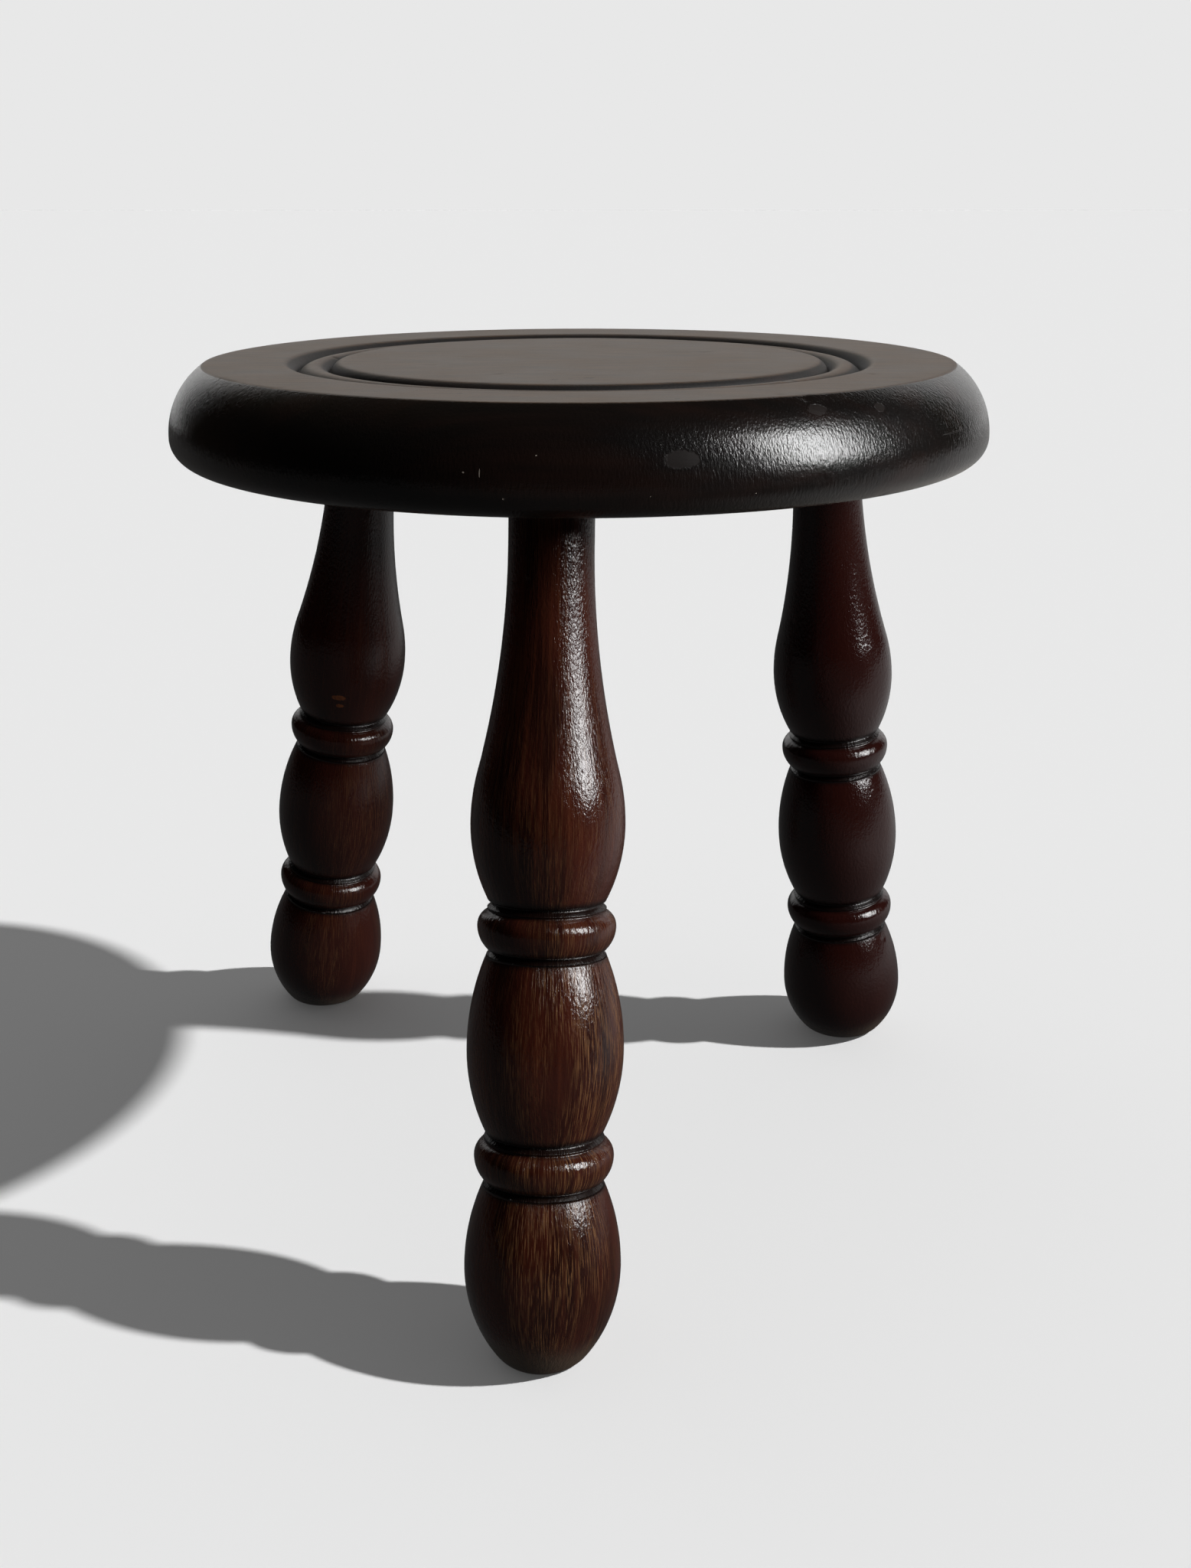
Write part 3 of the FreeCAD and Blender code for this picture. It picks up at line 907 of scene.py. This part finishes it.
def seat_wood(seat):
    """Near-black stained wood, satin from handling, with end-grain checks, nicks and dull spots."""
    material, graph = new_finish("seat wood")
    place = graph.node("ShaderNodeTexCoord", None, None, "Object")
    hollow = graph.attribute("hollow")
    _, _, upwards = graph.parts(graph.node("ShaderNodeNewGeometry", None, None, "Normal"))
    along = graph.scaled(place, (0.07, 1, 1))
    tone = graph.noise(along, scale=70, detail=4)
    grain = graph.noise(along, scale=600, detail=3)
    ripple = graph.noise(graph.scaled(place, (1, 1, 0.3)), scale=1300, roughness=0.6)
    worn = graph.noise(place, scale=30, detail=4, roughness=0.6)
    tint = graph.blend(graph.ramp(tone, 0.42, 0.75), seat.dark, seat.red)
    # Dirt and painted shade darken the grooves
    shade_and_grime = graph.ramp(hollow, 0.35, 0.9)
    top = graph.ramp(upwards, 0.86, 0.992) * (1 - shade_and_grime)
    from_axis = graph.vector("LENGTH", graph.scaled(place, (1, 1, 0)), None, "Value")
    past_rings = from_axis - seat.top_ring_diameter / 2
    in_rings = graph.ramp(past_rings, seat.ring_dull_start, seat.ring_dull_full) * (1 - top)
    checks = graph.noise(graph.scaled(place, (0.12, 1, 1)), scale=220)
    checked = graph.ramp(mark_distance(graph, place, CHECKED_END), 1.0, 0.5)
    checks = graph.ramp((checks - 0.5).magnitude(), 0.012, 0.004) * checked
    from_ring_edge = (mark_distance(graph, place, RING_MARK) - MARK_INSIDE_SHARE).magnitude()
    ring_edge = graph.ramp(from_ring_edge, 0.2, 0.05)
    bare = marked(graph, place, BARE_SPOTS)
    dull = marked(graph, place, DULL_SPOTS).most(ring_edge * 0.3)
    nicks = marked(graph, place, NICKS)
    rubbed = graph.ramp(grain + (worn - 0.5) * 0.5, 0.30, 0.66)
    # Worn dust and a painted sheen lighten the top that faces up
    tint = graph.blend(top * (0.25 + rubbed * 0.75), tint, seat.dust_and_sheen)
    tint = graph.blend(shade_and_grime * 0.75, tint, seat.grime_and_shade)
    tint = graph.blend(dull * (0.2 + worn * 0.7), tint, seat.dull)
    tint = graph.blend(bare, tint, seat.bare)
    tint = graph.blend(nicks.most(checks) * 0.7, tint, seat.nick)
    rough = seat.roughness + (worn - 0.5) * 0.16 + top * 0.30 + in_rings * 0.42
    rough = rough + dull * 0.06 + bare * 0.3 + checks * 0.3
    sockets = {
        "Base Color": tint,
        "Roughness": rough,
        "Normal": graph.bump(ripple * (1 - dull) + grain * 0.4 - nicks, seat.relief),
        "Sheen Weight": seat.bloom_strength,
        "Sheen Roughness": seat.bloom_spread,
        "Sheen Tint": seat.bloom,
    }
    close_finish(graph, sockets)
    return material


def wedge_wood():
    """Bare wood of the hidden wedges, with straight grain."""
    material, graph = new_finish("wedge wood")
    place = graph.node("ShaderNodeTexCoord", None, None, "Object")
    grain = graph.noise(graph.scaled(place, (1, 1, 0.06)), scale=900, detail=4)
    tint = graph.blend(graph.ramp(grain, 0.3, 0.7), WEDGE_DARK, WEDGE_LIGHT)
    normal = graph.bump(grain, WEDGE_RELIEF, strength=0.4)
    close_finish(graph, {"Base Color": tint, "Roughness": 0.6 + grain * 0.2, "Normal": normal})
    return material


# Stage

def towards(bearing, height):
    """Direction at a bearing about the upright axis and a height over the floor."""
    level = math.cos(height)
    return Vector((level * math.cos(bearing), level * math.sin(bearing), math.sin(height)))


def seen_directly(graph):
    """One for rays from the camera, from gloss and through glass, and nothing for the rest."""
    path = graph.tree.nodes.new("ShaderNodeLightPath")
    seen = Value(graph, path.outputs["Is Camera Ray"])
    for ray in ("Is Glossy Ray", "Is Transmission Ray"):
        seen = seen.most(Value(graph, path.outputs[ray]))
    return seen


def staged_panel(name, corners, faces, material):
    """Part of the stage made of flat panels."""
    mesh = bpy.data.meshes.new(name)
    mesh.from_pydata(corners, [], faces)
    mesh.materials.append(material)
    panel = bpy.data.objects.new(name, mesh)
    bpy.context.scene.collection.objects.link(panel)
    return panel


def only_in_polish(panel):
    """Leaves a panel to be seen by reflections alone."""
    panel.visible_camera = False
    panel.visible_diffuse = False
    panel.visible_transmission = False
    panel.visible_shadow = False


def lay_floor(stage):
    """Wide pale floor under the feet, which throws little light back."""
    half = stage.floor_width / 2
    corners = [(x, y, FLOOR_LEVEL) for y in (-half, half) for x in (-half, half)]
    material, graph = new_finish("pale floor")
    seen = seen_directly(graph)
    sockets = {
        "Base Color": graph.blend(seen, stage.bounce, stage.pale),
        "Roughness": 1.0,
        "Specular IOR Level": 0.0,
        "Emission Color": graph.blend(seen, (0, 0, 0), stage.shadow_lift),
        "Emission Strength": 1.0,
    }
    close_finish(graph, sockets)
    return staged_panel("floor", corners, [(0, 1, 3, 2)], material)


def stand_screens(stage):
    """Dark screens, open at the back, whose floor gleams as the pale floor does in the polish."""
    reach = stage.screen_distance
    low = FLOOR_LEVEL + SCREEN_GAP
    depths = (-reach, stage.screen_end)
    corners = [(x, y, z) for z in (low, reach) for y in depths for x in (-reach, reach)]
    faces = [(0, 1, 3, 2), (4, 5, 7, 6), (0, 1, 5, 4), (0, 2, 6, 4), (1, 3, 7, 5)]
    material, graph = new_finish("dark screen")
    x, y, z = graph.parts(graph.node("ShaderNodeTexCoord", None, None, "Object"))
    to_right = graph.ramp(x, GLEAM_START[0], GLEAM_FULL[0])
    to_back = graph.ramp(y, GLEAM_START[1], GLEAM_FULL[1])
    on_floor = graph.ramp(z, low + GLEAM_HEIGHT, low)
    gleam = on_floor * (stage.gleam_base + (1 - stage.gleam_base) * (to_right * to_back))
    sockets = {
        "Base Color": stage.screen,
        "Roughness": 1.0,
        "Specular IOR Level": 0.0,
        "Emission Color": graph.blend(gleam, (0, 0, 0), stage.floor_gleam),
        "Emission Strength": 1.0,
    }
    close_finish(graph, sockets)
    only_in_polish(staged_panel("dark_screens", corners, faces, material))


def light_world(scene, stage):
    """Pale backdrop for the camera, and fill light from the softbox's side and from the back."""
    world = bpy.data.worlds.new("studio")
    world.use_nodes = True
    world.node_tree.nodes.clear()
    graph = Graph(world.node_tree)
    direction = graph.node("ShaderNodeTexCoord", None, None, "Generated")
    soft = (0, 0, 0)
    for bearing, fill in ((stage.softbox_bearing, stage.fill), (stage.back_bearing, stage.back_fill)):
        side = towards(bearing, stage.shadow_height)
        facing = graph.vector("DOT_PRODUCT", direction, side, "Value").most(0.0)
        soft = graph.blend(facing, soft, fill)
    sky = graph.blend(seen_directly(graph), soft, stage.pale)
    background = graph.node("ShaderNodeBackground", None, {"Color": sky})
    graph.node("ShaderNodeOutputWorld", None, {"Surface": background})
    scene.world = world


def hang_lamp(lamp, bearing, height, distance, lit):
    """Hangs a lamp that looks at the seat from a distance and lights these objects alone."""
    hung = bpy.data.objects.new(lamp.name, lamp)
    hung.location = towards(bearing, height) * distance
    hung.rotation_euler = towards(bearing, height).to_track_quat("Z", "Y").to_euler()
    bpy.context.scene.collection.objects.link(hung)
    hung.light_linking.receiver_collection = bpy.data.collections.new("lit by " + lamp.name)
    for thing in lit:
        hung.light_linking.receiver_collection.objects.link(thing)


def hang_softbox(stage, stool):
    """Softbox at the front right that lights the stool and draws its highlights."""
    lamp = bpy.data.lights.new("softbox", "AREA")
    lamp.shape = "RECTANGLE"
    lamp.size = stage.softbox_width
    lamp.size_y = stage.softbox_tall
    lamp.energy = stage.softbox_power
    hang_lamp(lamp, stage.softbox_bearing, stage.softbox_height, stage.softbox_distance, stool)


def hang_floor_light(stage, floor):
    """Light from the right that casts the stool's shadow on the floor."""
    lamp = bpy.data.lights.new("floor light", "SUN")
    lamp.energy = stage.shadow_strength
    lamp.angle = stage.shadow_width
    hang_lamp(lamp, stage.shadow_bearing, stage.shadow_height, stage.softbox_distance, [floor])


def place_camera(scene, stage):
    """Camera where the photograph was taken from."""
    lens = bpy.data.cameras.new("camera")
    lens.sensor_fit = "VERTICAL"
    lens.sensor_height = SENSOR_HEIGHT
    lens.lens = SENSOR_HEIGHT * stage.photo_focal_pixels / stage.photo_height_pixels
    lens.clip_start = NEAREST_SEEN
    camera = bpy.data.objects.new("camera", lens)
    turned = Matrix.Rotation(stage.camera_turn, 4, "Z")
    tilted = Matrix.Rotation(math.pi / 2 - stage.camera_tilt, 4, "X")
    rolled = Matrix.Rotation(stage.camera_roll, 4, "Z")
    camera.matrix_world = Matrix.Translation(stage.camera_place) @ turned @ tilted @ rolled
    scene.collection.objects.link(camera)
    scene.camera = camera


# Operators

class STOOL_OT_turn_seat(bpy.types.Operator):
    """Turn the seat with its rim and rings, and finish its wood"""

    bl_idname = "stool.turn_seat"
    bl_label = "Turn seat"

    def execute(self, context):
        seat = context.scene.stool_seat
        section = seat_section(seat)
        wood = seat_wood(seat)
        piece = turned_piece("turned_seat", seat_tree(), seat, section, {"Seed": 0.0, "Material": wood})
        cut_mortises(piece, context.scene.stool_legs, wood)
        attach(piece, "root")
        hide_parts("seat")
        return {"FINISHED"}


class STOOL_OT_turn_legs(bpy.types.Operator):
    """Turn the three legs, cut them to the floor and the seat, and finish their wood"""

    bl_idname = "stool.turn_legs"
    bl_label = "Turn legs"

    def execute(self, context):
        legs = context.scene.stool_legs
        tree = leg_tree()
        wood = leg_wood(legs)
        # Each leg's share of painted shade
        leg_shades = {"front": legs.front_leg_shade, "right": legs.right_leg_shade, "left": legs.left_leg_shade}
        for name in LEG_NAMES:
            foot, bearing, splay, leg_length = leg_stance(legs, name)
            slope = math.tan(splay)
            foot_flat = legs.front_foot_flat if name == "front" else legs.back_foot_flat
            section = leg_section(legs, leg_length, slope, foot_flat)
            values = {
                "Seed": LEG_SEEDS[name],
                "Material": wood,
                "Slope": slope,
                "Length": leg_length,
                "Edge": legs.foot_edge_round,
                "Stain": leg_shades[name],
                "Foot": foot,
                "Lean": (0.0, -splay, bearing),
            }
            piece = turned_piece("turned_leg_" + name, tree, legs, section, values)
            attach(piece, "root")
            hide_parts("leg_" + name)
        return {"FINISHED"}


class STOOL_OT_finish_wedges(bpy.types.Operator):
    """Give the hidden wedges their bare wood"""

    bl_idname = "stool.finish_wedges"
    bl_label = "Finish wedges"

    def execute(self, context):
        wood = wedge_wood()
        for name in LEG_NAMES:
            wedge = frame["nodes"]["wedge_" + name]
            for slot in wedge.material_slots:
                slot.material = wood
        return {"FINISHED"}


class STOOL_OT_set_stage(bpy.types.Operator):
    """Lay the floor and set the light and the camera"""

    bl_idname = "stool.set_stage"
    bl_label = "Set stage"

    def execute(self, context):
        stage = context.scene.stool_stage
        stool = [piece for piece in context.scene.objects if piece.name.startswith("turned_")]
        floor = lay_floor(stage)
        stand_screens(stage)
        light_world(context.scene, stage)
        hang_softbox(stage, stool)
        hang_floor_light(stage, floor)
        place_camera(context.scene, stage)
        context.scene.view_settings.view_transform = "Standard"
        return {"FINISHED"}


class STOOL_PT_panel(bpy.types.Panel):
    """Stool's operators and sizes in the sidebar"""

    bl_idname = "STOOL_PT_panel"
    bl_label = "Stool"
    bl_space_type = "VIEW_3D"
    bl_region_type = "UI"
    bl_category = "Stool"

    def draw(self, context):
        for operator, settings in (
            ("stool.turn_seat", context.scene.stool_seat),
            ("stool.turn_legs", context.scene.stool_legs),
            ("stool.finish_wedges", None),
            ("stool.set_stage", context.scene.stool_stage),
        ):
            self.layout.operator(operator)
            for name in getattr(settings, "__annotations__", {}):
                self.layout.prop(settings, name)


CLASSES = (
    SeatSettings, LegSettings, StageSettings,
    STOOL_OT_turn_seat, STOOL_OT_turn_legs, STOOL_OT_finish_wedges, STOOL_OT_set_stage, STOOL_PT_panel,
)


def register():
    for made in CLASSES:
        bpy.utils.register_class(made)
    bpy.types.Scene.stool_seat = PointerProperty(type=SeatSettings)
    bpy.types.Scene.stool_legs = PointerProperty(type=LegSettings)
    bpy.types.Scene.stool_stage = PointerProperty(type=StageSettings)


def unregister():
    del bpy.types.Scene.stool_stage
    del bpy.types.Scene.stool_legs
    del bpy.types.Scene.stool_seat
    for made in reversed(CLASSES):
        bpy.utils.unregister_class(made)


def main():
    """Makes the stool and its stage."""
    register()
    bpy.ops.stool.turn_seat()
    bpy.ops.stool.turn_legs()
    bpy.ops.stool.finish_wedges()
    bpy.ops.stool.set_stage()


if __name__ == "__main__":
    main()
